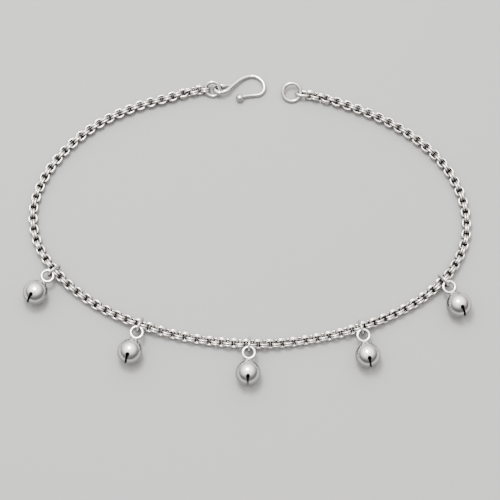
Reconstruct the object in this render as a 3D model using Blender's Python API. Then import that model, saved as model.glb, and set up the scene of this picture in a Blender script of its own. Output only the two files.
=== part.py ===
"""A silver waist chain laid open on a flat surface: a linked chain with five round bells,
a wire hook on a ring at one end, and a ring for the hook at the other.

Metres, +Z up. +X runs from the hook's end to the clasp ring's end, and the bells lie on
the -Y side. The origin is under the middle of the whole piece, on the surface.
"""

import math
from collections import namedtuple

import bmesh
import bpy
from mathutils import Matrix, Vector

# Clearance between pieces that touch on the real chain, and between two thick wires of
# which one passes through the other's ring
GAP = 0.0003
THREAD_GAP = 0.0006

# The laid-out chain: how wide and how deep the middle of its way round is
LOOP_WIDTH = 0.3030
LOOP_DEPTH = 0.1872

# Chain: pairs of oval rings, each pair turned a quarter turn from the last. Its outer form
# is a plain tube with a narrow waist under each bell's ring
CHAIN_RADIUS = 0.0034
CHAIN_WAIST = 0.0029
LINK_LENGTH = 0.0078
LINK_WIDTH = 0.0070
LINK_WIRE = 0.0015
TUBE_SIDES = 10
TUBE_STEP = 0.0098

# Round ring that joins the chain to the hook. It leans, far side up, on its near edge
HOOK_RING_DIAMETER = 0.0127
HOOK_RING_WIRE = 0.0026
HOOK_RING_LEAN = math.radians(30)

# Hook: one wire, bent to an eye at one end and to an open bend at the other. The wire
# thins where its end is tucked under the eye, and towards the ball on its tip
HOOK_LENGTH = 0.0317
HOOK_WIRE = 0.0031
HOOK_TIP_WIRE = 0.0026
HOOK_TUCKED_WIRE = 0.0016
TUCKED_SHARE = 0.09
TIP_SHARE = 0.28
EYE_WIDTH = 0.0072
BALL_DIAMETER = 0.0057

# Ring that takes the hook, and the long link that carries it on the chain. The link's
# spread is the level distance between the middles of its two long sides
CLASP_RING_DIAMETER = 0.0154
CLASP_RING_WIRE = 0.0027
CLASP_RING_LEAN = math.radians(20)
CLASP_HEADING = math.radians(172)
END_LINK_LENGTH = 0.0116
END_LINK_SPREAD = 0.0049
END_LINK_WIRE = 0.0023

# Bells: hollow balls, each with a slot between two round holes and a soldered eyelet
BELL_DIAMETER = 0.0175
BELL_WALL = 0.0008
SLOT_WIDTH = 0.0015
SLOT_HOLE = 0.0028
SLOT_ANGLE = math.radians(64)
EYELET_DIAMETER = 0.0105
EYELET_WIRE = 0.0024
NECK_LENGTH = 0.0003
NECK_FOOT = 0.0058

# The ring that goes round the chain and through a bell's eyelet, and the level distance
# from the chain's axis to the eyelet's middle
BELL_RING_WIRE = 0.0017
EYELET_SETBACK = 0.0070

# How far along the chain a bell's ring lifts it off the surface, and how far an end ring
# lifts it
LIFT_REACH = 0.030
END_REACH = 0.035

# The chain's way round, from the middle of the hook's ring to the middle of the end link:
# x as a share of the loop's width, y as a share of its depth
ROUTE = [
    (-0.0881, 0.6341), (-0.1221, 0.6303), (-0.1898, 0.5999), (-0.2739, 0.5582),
    (-0.3564, 0.4915), (-0.4257, 0.3980), (-0.4785, 0.2778), (-0.5017, 0.1442),
    (-0.4868, 0.0134), (-0.4356, -0.1068), (-0.3630, -0.2030), (-0.2805, -0.2724),
    (-0.1980, -0.3178), (-0.1089, -0.3488), (-0.0033, -0.3659), (0.0693, -0.3616),
    (0.1551, -0.3419), (0.2426, -0.3072), (0.3284, -0.2511), (0.4076, -0.1736),
    (0.4670, -0.0721), (0.4983, 0.0534), (0.4917, 0.1976), (0.4521, 0.3285),
    (0.3861, 0.4354), (0.3102, 0.5128), (0.2277, 0.5689), (0.1584, 0.6036),
    (0.1244, 0.6159),
]

# Where each bell hangs, as a share of the way round, and how many degrees its ring and its
# axis turn from -Y towards +X
BellPlace = namedtuple("BellPlace", "way_share ring_turn bell_turn")
BELL_PLACES = [
    BellPlace(0.3000, -44, -34),
    BellPlace(0.4005, -19, -18),
    BellPlace(0.5073, -2, -2),
    BellPlace(0.6161, 14, 11),
    BellPlace(0.7096, 36, 26),
]

# The hook's wire past its eye: along and across as shares of the hook's length from the
# middle of the eye's round end, and height as a share of the rise from the surface
HookPoint = namedtuple("HookPoint", "along across height")
HOOK_POINTS = [
    HookPoint(0.170, -0.047, 0.90), HookPoint(0.284, 0.076, 0.62),
    HookPoint(0.424, 0.211, 0.32), HookPoint(0.562, 0.300, 0.12),
    HookPoint(0.700, 0.338, 0.00), HookPoint(0.842, 0.312, 0.00),
    HookPoint(0.956, 0.211, 0.00), HookPoint(1.000, 0.101, 0.00),
    HookPoint(0.990, -0.010, 0.00), HookPoint(0.909, -0.098, 0.00),
    HookPoint(0.792, -0.123, 0.02), HookPoint(0.656, -0.139, 0.10),
    HookPoint(0.552, -0.158, 0.22),
]
BALL_PLACE = HookPoint(0.448, -0.205, 0.0)
TUCKED_PLACES = [HookPoint(0.306, 0.146, 0.0), HookPoint(0.215, 0.118, 0.0)]

# How finely round forms are divided
ROUTE_SPACING = TUBE_STEP / 8
HOOK_SPACING = HOOK_WIRE / 16
HOOK_STEP = HOOK_WIRE * 0.55
EYE_DEGREES = range(60, 301, 30)
LINK_SEGMENTS = 16
END_LINK_SEGMENTS = 20
RING_SEGMENTS = 24
RING_WIRE_SIDES = 8
HOOK_BALL_SEGMENTS = 16
BELL_SEGMENTS = 20
EYELET_WIRE_SIDES = 6
HOLE_SIDES = 16
WIRE_CREASE = math.radians(40)
BELL_CREASE = math.radians(32)
WELD_DISTANCE = 1e-6

# Values that follow from the ones above
SURFACE_TO_AXIS = CHAIN_RADIUS * math.cos(math.pi / TUBE_SIDES)
PAIR_SPACING = LINK_WIRE + GAP
LINK_REACH = (LINK_LENGTH - LINK_WIRE) / 2
LINK_SPREAD = (LINK_WIDTH - LINK_WIRE) / 2
HOOK_RING_RADIUS = (HOOK_RING_DIAMETER - HOOK_RING_WIRE) / 2
HOOK_RING_HEIGHT = HOOK_RING_RADIUS * math.sin(HOOK_RING_LEAN) + HOOK_RING_WIRE / 2
CLASP_RING_RADIUS = (CLASP_RING_DIAMETER - CLASP_RING_WIRE) / 2
CLASP_RING_HEIGHT = CLASP_RING_RADIUS * math.sin(CLASP_RING_LEAN) + CLASP_RING_WIRE / 2
EYELET_RADIUS = (EYELET_DIAMETER - EYELET_WIRE) / 2
BELL_REACH = (BELL_DIAMETER + EYELET_DIAMETER) / 2 + NECK_LENGTH
CUTTER_LENGTH = BELL_DIAMETER * 1.2


def clear_scene():
    for item in list(bpy.data.objects):
        bpy.data.objects.remove(item, do_unlink=True)


def new_collection(name):
    collection = bpy.data.collections.new(name)
    bpy.context.scene.collection.children.link(collection)
    return collection


def move_to(item, collection):
    for holder in list(item.users_collection):
        holder.objects.unlink(item)
    collection.objects.link(item)


def silver(name, roughness, shade):
    """Polished silver, a little warm."""
    material = bpy.data.materials.new(name)
    material.use_nodes = True
    surface = material.node_tree.nodes["Principled BSDF"]
    surface.inputs["Base Color"].default_value = (shade, shade * 0.975, shade * 0.94, 1.0)
    surface.inputs["Metallic"].default_value = 1.0
    surface.inputs["Roughness"].default_value = roughness
    return material


# Curves and routes

def smooth_path(points, spacing):
    """Points about the spacing apart, on a smooth curve through the given points."""
    corners = [Vector(point) for point in points]
    corners.insert(0, corners[0] * 2 - corners[1])
    corners.append(corners[-1] * 2 - corners[-2])
    fine = []
    for before, start, end, after in zip(corners, corners[1:], corners[2:], corners[3:]):
        span = (end - start).length
        lead = (end - before) * (span / ((start - before).length + span))
        tail = (after - start) * (span / ((after - end).length + span))
        pieces = max(2, round(span / spacing))
        for index in range(pieces):
            t = index / pieces
            blend = (2 * t ** 3 - 3 * t ** 2 + 1, t ** 3 - 2 * t ** 2 + t,
                     3 * t ** 2 - 2 * t ** 3, t ** 3 - t ** 2)
            fine.append(start * blend[0] + lead * blend[1] + end * blend[2] + tail * blend[3])
    fine.append(corners[-2].copy())
    return fine


class Path:
    """A fine run of points that can be read by its length."""

    def __init__(self, points):
        self.points = points
        self.marks = [0.0]
        for start, end in zip(points, points[1:]):
            self.marks.append(self.marks[-1] + (end - start).length)

    @property
    def length(self):
        return self.marks[-1]

    def at(self, distance):
        distance = min(max(distance, 0.0), self.length)
        index = 1
        while self.marks[index] < distance:
            index += 1
        span = self.marks[index] - self.marks[index - 1]
        share = (distance - self.marks[index - 1]) / span
        return self.points[index - 1].lerp(self.points[index], share)

    def heading(self, distance):
        ahead = self.at(distance + ROUTE_SPACING)
        return (ahead - self.at(distance - ROUTE_SPACING)).normalized()


def loop_path():
    points = [(x * LOOP_WIDTH, y * LOOP_DEPTH, 0.0) for x, y in ROUTE]
    return Path(smooth_path(points, ROUTE_SPACING))


def bell_stations(path):
    """The distances along the route at which the bells' rings sit."""
    return [place.way_share * path.length for place in BELL_PLACES]


def add_wire(name, points, radii, collection, closed=False, resolution=2):
    """A round wire through the points, as a curve with a bevel."""
    data = bpy.data.curves.new(name, "CURVE")
    data.dimensions = "3D"
    data.twist_mode = "Z_UP"
    data.bevel_depth = 1.0
    data.bevel_resolution = resolution
    data.use_fill_caps = not closed
    spline = data.splines.new("POLY")
    spline.points.add(len(points) - 1)
    spline.use_cyclic_u = closed
    for place, point, radius in zip(spline.points, points, radii):
        place.co = (*point, 1.0)
        place.radius = radius
    item = bpy.data.objects.new(name, data)
    collection.objects.link(item)
    return item


def oval(reach, spread, segments):
    """A closed oval in the XY plane: two round ends of the spread's radius, joined straight."""
    straight = max(reach - spread, 0.0)
    half = segments // 2
    points = []
    for index in range(segments):
        angle = math.pi * (index + 0.5 - half / 2) / half
        shift = math.copysign(straight, math.cos(angle))
        points.append(Vector((shift + spread * math.cos(angle), spread * math.sin(angle), 0)))
    return points


def as_mesh(item, collection):
    """The mesh of a curve object, with its caps joined on, in place of the curve."""
    bpy.context.view_layer.update()
    evaluated = item.evaluated_get(bpy.context.evaluated_depsgraph_get())
    mesh = bpy.data.meshes.new_from_object(evaluated)
    name = item.name
    matrix = item.matrix_world.copy()
    bpy.data.objects.remove(item, do_unlink=True)
    shell = bmesh.new()
    shell.from_mesh(mesh)
    bmesh.ops.remove_doubles(shell, verts=shell.verts, dist=WELD_DISTANCE)
    shell.to_mesh(mesh)
    shell.free()
    solid = bpy.data.objects.new(name, mesh)
    solid.matrix_world = matrix
    collection.objects.link(solid)
    return solid


def new_solid(name, shell, collection):
    mesh = bpy.data.meshes.new(name)
    shell.to_mesh(mesh)
    shell.free()
    solid = bpy.data.objects.new(name, mesh)
    collection.objects.link(solid)
    return solid


def hide_cutter(item):
    item.hide_render = True
    item.display_type = "WIRE"


def combine(item, other, operation):
    """One Boolean step on the item; the other object stays as its hidden guide."""
    modifier = item.modifiers.new(operation.title() + " " + other.name, "BOOLEAN")
    modifier.operation = operation
    modifier.object = other
    hide_cutter(other)


def finish_round(item, material):
    data = item.data
    data.materials.append(material)
    if item.type == "MESH":
        data.shade_smooth()
        data.set_sharp_from_angle(angle=WIRE_CREASE)
    else:
        for spline in data.splines:
            spline.use_smooth = True


def frame_matrix(place, along, across):
    """A piece's placing: its X axis along, its Y axis across, its Z axis square to both."""
    normal = along.cross(across).normalized()
    turn = Matrix((along, across, normal)).transposed().to_4x4()
    return Matrix.Translation(place) @ turn


def leaning(heading, lean):
    """The direction square to a level heading, tipped up by the lean towards its left."""
    left = Vector((-heading.y, heading.x, 0.0))
    return left * math.sin(lean) + Vector((0.0, 0.0, math.cos(lean)))


# Heights

def bell_height():
    """Height of the chain's axis over a bell's ring that stands on the surface."""
    return CHAIN_WAIST + GAP + BELL_RING_WIRE


def swell(distance, reach):
    """1 at no distance, falling smoothly to 0 at the reach."""
    if abs(distance) >= reach:
        return 0.0
    return math.cos(math.pi * distance / (2 * reach)) ** 2


def chain_height(path, distance):
    lift = 0.0
    for station in bell_stations(path):
        rise = bell_height() - SURFACE_TO_AXIS
        lift = max(lift, rise * swell(distance - station, LIFT_REACH))
    lift += (HOOK_RING_HEIGHT - SURFACE_TO_AXIS) * swell(distance, END_REACH)
    lift += (CLASP_RING_HEIGHT - SURFACE_TO_AXIS) * swell(path.length - distance, END_REACH)
    return SURFACE_TO_AXIS + lift


# Ends of the linked stretch, as distances from the two ends of the route

def first_link_distance():
    """From the hook ring's middle to the middle of the chain's first pair of rings."""
    room = HOOK_RING_RADIUS - HOOK_RING_WIRE / 2 - LINK_WIRE / 2 - GAP
    return math.sqrt(room ** 2 - (PAIR_SPACING / 2) ** 2) + LINK_REACH


def end_link_half():
    """Half the end link's width across its wire's middle, with its two sides one above
    and one below the clasp ring's wire, and the lean that this gives the link."""
    clear = (CLASP_RING_WIRE + END_LINK_WIRE) / 2 + THREAD_GAP
    level = END_LINK_SPREAD / 2
    rise = (clear - level * math.sin(CLASP_RING_LEAN)) / math.cos(CLASP_RING_LEAN)
    return math.hypot(level, rise), math.atan2(level, rise)


def last_link_distance():
    """From the end link's middle to the middle of the chain's last pair of rings."""
    spread, _ = end_link_half()
    reach = (END_LINK_LENGTH - END_LINK_WIRE) / 2
    room = spread - END_LINK_WIRE / 2 - LINK_WIRE / 2 - GAP
    inside = math.sqrt(max(room ** 2 - (PAIR_SPACING / 2) ** 2, 0.0))
    return reach - spread + inside + LINK_REACH


# Pieces

def add_chain(path, collection, material):
    """The chain's outer form between its end pairs, narrowed where a bell's ring sits."""
    start = first_link_distance() + LINK_LENGTH / 2 + GAP
    finish = path.length - last_link_distance() - LINK_LENGTH / 2 - GAP
    marks = [start] + bell_stations(path) + [finish]
    points = []
    radii = []
    for begin, end in zip(marks, marks[1:]):
        steps = math.ceil((end - begin) / TUBE_STEP)
        for index in range(steps):
            distance = begin + (end - begin) * index / steps
            place = path.at(distance)
            points.append(Vector((place.x, place.y, chain_height(path, distance))))
            at_ring = index == 0 and begin != start
            radii.append(CHAIN_WAIST if at_ring else CHAIN_RADIUS)
    place = path.at(finish)
    points.append(Vector((place.x, place.y, chain_height(path, finish))))
    radii.append(CHAIN_RADIUS)
    chain = add_wire("chain", points, radii, collection, resolution=(TUBE_SIDES - 4) // 2)
    finish_round(chain, material)


def add_pair(names, path, distance, lean, collection, material):
    """Two oval rings side by side, leaning about the chain's axis."""
    here = path.at(distance)
    along = path.heading(distance)
    across = leaning(along, lean)
    middle = Vector((here.x, here.y, chain_height(path, distance)))
    normal = along.cross(across)
    for name, side in zip(names, (-1, 1)):
        points = oval(LINK_REACH, LINK_SPREAD, LINK_SEGMENTS)
        radii = [LINK_WIRE / 2] * LINK_SEGMENTS
        ring = add_wire(name, points, radii, collection, closed=True, resolution=1)
        ring.matrix_world = frame_matrix(middle + normal * side * PAIR_SPACING / 2, along, across)
        finish_round(ring, material)


def add_round_ring(name, middle, diameter, wire, lean, collection, material):
    """A round ring that leans about the X axis, far side up."""
    bpy.ops.mesh.primitive_torus_add(
        major_radius=(diameter - wire) / 2, minor_radius=wire / 2,
        major_segments=RING_SEGMENTS, minor_segments=RING_WIRE_SIDES)
    ring = bpy.context.object
    ring.name = name
    ring.data.name = name
    move_to(ring, collection)
    ring.location = middle
    ring.rotation_euler = (lean, 0.0, 0.0)
    finish_round(ring, material)


def hook_eye():
    """The eye's round end: how far its middle lies from the ring's, and its rise."""
    clear = (HOOK_RING_WIRE + HOOK_WIRE) / 2 + THREAD_GAP
    half = EYE_WIDTH / 2
    rise = (clear - half * math.sin(HOOK_RING_LEAN)) / math.cos(HOOK_RING_LEAN)
    return HOOK_RING_RADIUS - clear + half, rise


def hook_wire(share):
    """The hook wire's thickness at a share of its length, from the tucked end."""
    tucked = 1 - min(share / TUCKED_SHARE, 1.0)
    tip = max((share - 1 + TIP_SHARE) / TIP_SHARE, 0.0)
    thinner = (HOOK_WIRE - HOOK_TUCKED_WIRE) * tucked + (HOOK_WIRE - HOOK_TIP_WIRE) * tip
    return HOOK_WIRE - thinner


def add_hook(ring_middle, collection, cutters, material):
    """The hook, from its tucked end round the eye and the bend to the ball at its tip."""
    setback, rise = hook_eye()
    half = EYE_WIDTH / 2
    eye = ring_middle + Vector((setback, 0.0, 0.0))
    top = eye.z + rise

    def placed(point, floor):
        along = eye.x + point.along * HOOK_LENGTH
        across = eye.y + point.across * HOOK_LENGTH
        return Vector((along, across, floor + point.height * (top - floor)))

    corners = [placed(point, HOOK_TUCKED_WIRE / 2 + GAP) for point in TUCKED_PLACES]
    for degrees in EYE_DEGREES:
        angle = math.radians(degrees)
        reach = half * math.cos(angle)
        side = half * math.sin(angle)
        corners.append(eye + Vector((reach, side, -rise * math.sin(angle))))
    corners += [placed(point, HOOK_WIRE / 2) for point in HOOK_POINTS]
    ball_middle = placed(BALL_PLACE, BALL_DIAMETER / 2)
    corners.append(ball_middle)

    path = Path(smooth_path(corners, HOOK_SPACING))
    steps = round(path.length / HOOK_STEP)
    points = []
    radii = []
    for index in range(steps + 1):
        share = index / steps
        radius = hook_wire(share) / 2
        point = path.at(share * path.length).copy()
        point.z = max(point.z, radius)
        points.append(point)
        radii.append(radius)
    hook = as_mesh(add_wire("hook", points, radii, collection), collection)

    shell = bmesh.new()
    bmesh.ops.create_uvsphere(
        shell, u_segments=HOOK_BALL_SEGMENTS, v_segments=10, radius=BALL_DIAMETER / 2)
    ball = new_solid("hook_ball", shell, cutters)
    ball.location = ball_middle
    ball.parent = hook
    combine(hook, ball, "UNION")
    finish_round(hook, material)


def add_end_link(middle, heading, collection, material):
    """The long link that carries the clasp ring, leaning near side up."""
    spread, lean = end_link_half()
    points = oval((END_LINK_LENGTH - END_LINK_WIRE) / 2, spread, END_LINK_SEGMENTS)
    radii = [END_LINK_WIRE / 2] * END_LINK_SEGMENTS
    link = add_wire("end_link", points, radii, collection, closed=True)
    link.matrix_world = frame_matrix(middle, heading, leaning(heading, lean))
    finish_round(link, material)


def bell_mesh(cutters, material):
    """One bell: a hollow ball with a slot between two round holes, an eyelet and its neck.
    Its axis is X, from the slot to the eyelet, and the eyelet lies in the XY plane."""
    radius = BELL_DIAMETER / 2
    along_x = Matrix.Rotation(math.radians(90), 4, "Y")

    def ball(name, size):
        shell = bmesh.new()
        bmesh.ops.create_uvsphere(
            shell, u_segments=BELL_SEGMENTS, v_segments=12, radius=size, matrix=along_x)
        return new_solid(name, shell, cutters)

    body = ball("bell_body", radius)
    cavity = ball("bell_cavity", radius - BELL_WALL)

    # The neck starts inside the wall and ends inside the eyelet's wire
    foot = radius * math.cos(math.asin(NECK_FOOT / BELL_DIAMETER)) - BELL_WALL / 2
    top = radius + NECK_LENGTH + EYELET_WIRE / 2
    shell = bmesh.new()
    bmesh.ops.create_cone(
        shell, cap_ends=True, segments=HOLE_SIDES, radius1=NECK_FOOT / 2,
        radius2=EYELET_WIRE / 2, depth=top - foot,
        matrix=Matrix.Translation(((top + foot) / 2, 0, 0)) @ along_x)
    neck = new_solid("bell_neck", shell, cutters)

    bpy.ops.mesh.primitive_torus_add(
        major_radius=EYELET_RADIUS, minor_radius=EYELET_WIRE / 2, major_segments=20,
        minor_segments=EYELET_WIRE_SIDES, location=(BELL_REACH, 0, 0))
    eyelet = bpy.context.object
    eyelet.name = "bell_eyelet"
    move_to(eyelet, cutters)

    slot_end = -radius * math.cos(SLOT_ANGLE)
    deep = radius + slot_end + BELL_WALL
    middle = Matrix.Translation((slot_end - deep / 2, 0, 0))
    shell = bmesh.new()
    bmesh.ops.create_cube(
        shell, size=1.0, matrix=middle @ Matrix.Diagonal((deep, SLOT_WIDTH, CUTTER_LENGTH, 1)))
    slot = new_solid("bell_slot", shell, cutters)
    shell = bmesh.new()
    bmesh.ops.create_cone(
        shell, cap_ends=True, segments=HOLE_SIDES, radius1=SLOT_HOLE / 2,
        radius2=SLOT_HOLE / 2, depth=CUTTER_LENGTH, matrix=Matrix.Translation((slot_end, 0, 0)))
    hole = new_solid("bell_hole", shell, cutters)

    combine(body, neck, "UNION")
    combine(body, eyelet, "UNION")
    combine(body, cavity, "DIFFERENCE")
    combine(body, hole, "DIFFERENCE")
    combine(body, slot, "DIFFERENCE")
    bpy.context.view_layer.update()
    evaluated = body.evaluated_get(bpy.context.evaluated_depsgraph_get())
    mesh = bpy.data.meshes.new_from_object(evaluated)
    mesh.name = "bell"
    for item in (body, neck, eyelet, cavity, hole, slot):
        bpy.data.objects.remove(item, do_unlink=True)
    mesh.materials.clear()
    mesh.materials.append(material)
    mesh.shade_smooth()
    mesh.set_sharp_from_angle(angle=BELL_CREASE)
    return mesh


def bell_ring_shape():
    """Points of a bell's ring in its own plane, round the chain and the eyelet's wire, and
    the tilt of its long axis. The plane's origin is the chain's axis."""
    level = EYELET_SETBACK - EYELET_RADIUS
    reach = CHAIN_WAIST + GAP + EYELET_WIRE / 2
    tilt = math.acos(level / reach)
    near_end = CHAIN_WAIST + GAP + BELL_RING_WIRE / 2
    far_end = reach + EYELET_WIRE / 2 + GAP + BELL_RING_WIRE / 2
    points = oval((far_end + near_end) / 2, near_end, LINK_SEGMENTS)
    shift = Vector(((far_end - near_end) / 2, 0, 0))
    return [point + shift for point in points], tilt, reach


def turned(degrees):
    angle = math.radians(degrees)
    return Vector((math.sin(angle), -math.cos(angle), 0.0))


def add_bells(path, collection, cutters, material, bell_material):
    """Five bells lying on the surface, each with its eyelet on the chain's edge, and the
    ring that goes round the chain and through the eyelet."""
    mesh = bell_mesh(cutters, bell_material)
    shape, tilt, reach = bell_ring_shape()
    up = Vector((0.0, 0.0, 1.0))
    for number, (place, station) in enumerate(zip(BELL_PLACES, bell_stations(path)), 1):
        here = path.at(station)
        middle = Vector((here.x, here.y, bell_height()))
        out = turned(place.ring_turn)
        radii = [BELL_RING_WIRE / 2] * len(shape)
        ring = add_wire(f"bell_ring_{number}", shape, radii, collection, closed=True, resolution=1)
        ring.matrix_world = frame_matrix(
            middle, out * math.cos(tilt) + up * math.sin(tilt),
            up * math.cos(tilt) - out * math.sin(tilt))
        finish_round(ring, material)

        wire_height = middle.z + reach * math.sin(tilt)
        drop = BELL_DIAMETER / 2 - wire_height
        pitch = math.asin(drop / (BELL_REACH + EYELET_RADIUS))
        away = turned(place.bell_turn)
        axis = -away * math.cos(pitch) - up * math.sin(pitch)
        eyelet = middle + out * EYELET_SETBACK
        ball_middle = eyelet + away * BELL_REACH * math.cos(pitch)
        ball_middle.z = BELL_DIAMETER / 2
        bell = bpy.data.objects.new(f"bell_{number}", mesh)
        collection.objects.link(bell)
        bell.matrix_world = frame_matrix(ball_middle, axis, up.cross(away))


def set_on_origin(root, pieces):
    """Move the root so that the whole piece stands on the origin, over its middle."""
    bpy.context.view_layer.update()
    graph = bpy.context.evaluated_depsgraph_get()
    low = Vector((math.inf,) * 3)
    high = Vector((-math.inf,) * 3)
    for item in pieces:
        evaluated = item.evaluated_get(graph)
        mesh = evaluated.to_mesh()
        for vertex in mesh.vertices:
            place = evaluated.matrix_world @ vertex.co
            low = Vector(map(min, low, place))
            high = Vector(map(max, high, place))
        evaluated.to_mesh_clear()
    root.location = (-(low.x + high.x) / 2, -(low.y + high.y) / 2, -low.z)


def main():
    clear_scene()
    collection = new_collection("waist_chain")
    cutters = new_collection("waist_chain_cutters")
    chain_silver = silver("chain_silver", 0.22, 0.86)
    wire_silver = silver("wire_silver", 0.16, 0.90)
    bell_silver = silver("bell_silver", 0.12, 0.92)

    path = loop_path()
    add_chain(path, collection, chain_silver)

    start = path.at(0.0)
    hook_ring_middle = Vector((start.x, start.y, HOOK_RING_HEIGHT))
    add_pair(("hook_side_link_1", "hook_side_link_2"), path, first_link_distance(),
             HOOK_RING_LEAN, collection, chain_silver)
    add_round_ring("hook_ring", hook_ring_middle, HOOK_RING_DIAMETER, HOOK_RING_WIRE,
                   HOOK_RING_LEAN, collection, wire_silver)
    add_hook(hook_ring_middle, collection, cutters, wire_silver)

    finish = path.at(path.length)
    end_middle = Vector((finish.x, finish.y, CLASP_RING_HEIGHT))
    heading = Vector((math.cos(CLASP_HEADING), math.sin(CLASP_HEADING), 0.0))
    _, end_lean = end_link_half()
    add_pair(("clasp_side_link_1", "clasp_side_link_2"), path,
             path.length - last_link_distance(), end_lean - math.pi / 2, collection, chain_silver)
    add_end_link(end_middle, heading, collection, wire_silver)
    held = (END_LINK_LENGTH - END_LINK_WIRE - CLASP_RING_WIRE - END_LINK_WIRE) / 2 - THREAD_GAP
    clasp_middle = end_middle + heading * (held + CLASP_RING_RADIUS)
    add_round_ring("clasp_ring", clasp_middle, CLASP_RING_DIAMETER, CLASP_RING_WIRE,
                   CLASP_RING_LEAN, collection, wire_silver)

    add_bells(path, collection, cutters, wire_silver, bell_silver)

    root = bpy.data.objects.new("waist_chain", None)
    collection.objects.link(root)
    pieces = [item for item in collection.objects if item.type in {"MESH", "CURVE"}]
    for item in pieces:
        item.parent = root
    set_on_origin(root, pieces)


main()
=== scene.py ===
"""The finished look of the waist chain: every link, ring, bell and the hook as polished
silver, on a plain pale floor under soft studio light. Metres, in the frame's own place."""

import math
from collections import namedtuple

import bmesh
import bpy
import numpy as np
from mathutils import Matrix, Vector


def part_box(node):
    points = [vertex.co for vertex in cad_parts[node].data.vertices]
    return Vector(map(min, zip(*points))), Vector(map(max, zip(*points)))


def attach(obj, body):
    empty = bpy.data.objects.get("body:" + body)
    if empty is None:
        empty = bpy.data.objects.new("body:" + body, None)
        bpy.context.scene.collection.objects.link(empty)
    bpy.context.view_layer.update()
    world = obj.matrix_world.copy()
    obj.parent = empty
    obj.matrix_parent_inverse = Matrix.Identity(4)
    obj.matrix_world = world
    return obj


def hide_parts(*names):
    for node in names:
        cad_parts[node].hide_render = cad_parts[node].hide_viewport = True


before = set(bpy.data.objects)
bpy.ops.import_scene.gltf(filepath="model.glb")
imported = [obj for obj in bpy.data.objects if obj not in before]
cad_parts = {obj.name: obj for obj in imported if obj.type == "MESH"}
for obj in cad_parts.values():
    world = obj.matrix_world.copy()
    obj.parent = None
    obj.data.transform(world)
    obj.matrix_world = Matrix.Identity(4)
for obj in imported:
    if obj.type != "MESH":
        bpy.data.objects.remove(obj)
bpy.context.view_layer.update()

# Clearances, as in the solids
GAP = 0.0003
THREAD_GAP = 0.0006

# The laid-out chain: how wide and how deep the middle of its way round is
LOOP_WIDTH = 0.3030
LOOP_DEPTH = 0.1872

# Chain: pairs of oval rings, each pair a quarter turn from the last. Its waist is its radius
# where a bell's ring goes round it. The fullness is 1 for an ellipse, and less for a fuller
# oval
CHAIN_WAIST = 0.0029
LINK_LENGTH = 0.0078
LINK_WIDTH = 0.0071
LINK_WIRE = 0.0016
LINK_FULLNESS = 0.80
PAIR_SPACING = 0.00162
# How loosely the links lie: the usual turn and slide of a ring from its even place
LINK_TURN = math.radians(1.0)
LINK_SLIDE = 0.00003

# Rings, hook and end link. The hook's wire thins over the tucked share and the tip share of
# its length, and the end link and clasp ring lie in the clasp's heading from the chain
HOOK_RING_DIAMETER = 0.0127
HOOK_RING_WIRE = 0.0026
HOOK_RING_LEAN = math.radians(30)
HOOK_LENGTH = 0.0317
HOOK_WIRE = 0.0031
HOOK_TIP_WIRE = 0.0026
HOOK_TUCKED_WIRE = 0.0016
TUCKED_SHARE = 0.09
TIP_SHARE = 0.28
EYE_WIDTH = 0.0072
BALL_DIAMETER = 0.0057
CLASP_RING_DIAMETER = 0.0154
CLASP_RING_WIRE = 0.0027
CLASP_RING_LEAN = math.radians(20)
CLASP_HEADING = math.radians(172)
END_LINK_LENGTH = 0.0116
END_LINK_SPREAD = 0.0049
END_LINK_WIRE = 0.0023

# Bells. The slot ends at a hole on each side, the slot's angle round from the bell's far end,
# and the middle of the eyelet lies its setback from the chain's axis
BELL_DIAMETER = 0.0175
BELL_WALL = 0.0008
SLOT_WIDTH = 0.0015
SLOT_HOLE = 0.0028
SLOT_ANGLE = math.radians(64)
# The slot and the holes are cut right through, and edges past the edge angle stay crisp
BELL_CUT_HEIGHT = BELL_DIAMETER * 1.2
BELL_EDGE_ANGLE = math.radians(35)
EYELET_DIAMETER = 0.0105
EYELET_WIRE = 0.0024
EYELET_SETBACK = 0.0070
BELL_RING_WIRE = 0.0017
# The solder neck is wider along the eyelet than across it by the widening, and it flares
# towards its foot on the ball
NECK_LENGTH = 0.0003
NECK_FOOT = 0.0058
NECK_TOP_RADIUS = EYELET_WIRE * 0.56
NECK_WIDENING = 1.3
NECK_FLARE = 1.5
# Each bell's ring stands this much wider than its solid, and this far from the middle of
# the pairs of links beside it, so that it clears the links
LINK_ROOM = 0.0002
RING_TO_PAIR = 0.00215

# How far from a bell, and from the chain's ends, the chain rises to meet the rings
LIFT_REACH = 0.030
END_REACH = 0.035
# The chain's slope at a place is measured this far to either side
SLOPE_STEP = 0.001

# The chain's way round, from the middle of the hook's ring to the middle of the end link:
# x as a share of the loop's width, y as a share of its depth
ROUTE = [
    (-0.0881, 0.6341), (-0.1221, 0.6303), (-0.1898, 0.5999), (-0.2739, 0.5582),
    (-0.3564, 0.4915), (-0.4257, 0.3980), (-0.4785, 0.2778), (-0.5017, 0.1442),
    (-0.4868, 0.0134), (-0.4356, -0.1068), (-0.3630, -0.2030), (-0.2805, -0.2724),
    (-0.1980, -0.3178), (-0.1089, -0.3488), (-0.0033, -0.3659), (0.0693, -0.3616),
    (0.1551, -0.3419), (0.2426, -0.3072), (0.3284, -0.2511), (0.4076, -0.1736),
    (0.4670, -0.0721), (0.4983, 0.0534), (0.4917, 0.1976), (0.4521, 0.3285),
    (0.3861, 0.4354), (0.3102, 0.5128), (0.2277, 0.5689), (0.1584, 0.6036),
    (0.1244, 0.6159),
]
# Fine points along the route are about this far apart
ROUTE_SPACING = 0.001225

# Each bell's share of the way round, and how far its ring and the bell itself are turned,
# in degrees from the camera's side towards +X
BellPlace = namedtuple("BellPlace", "way_share ring_turn bell_turn")
BELL_PLACES = [
    BellPlace(0.3000, -44, -34),
    BellPlace(0.4005, -19, -18),
    BellPlace(0.5073, -2, -2),
    BellPlace(0.6161, 14, 11),
    BellPlace(0.7096, 36, 26),
]
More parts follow.
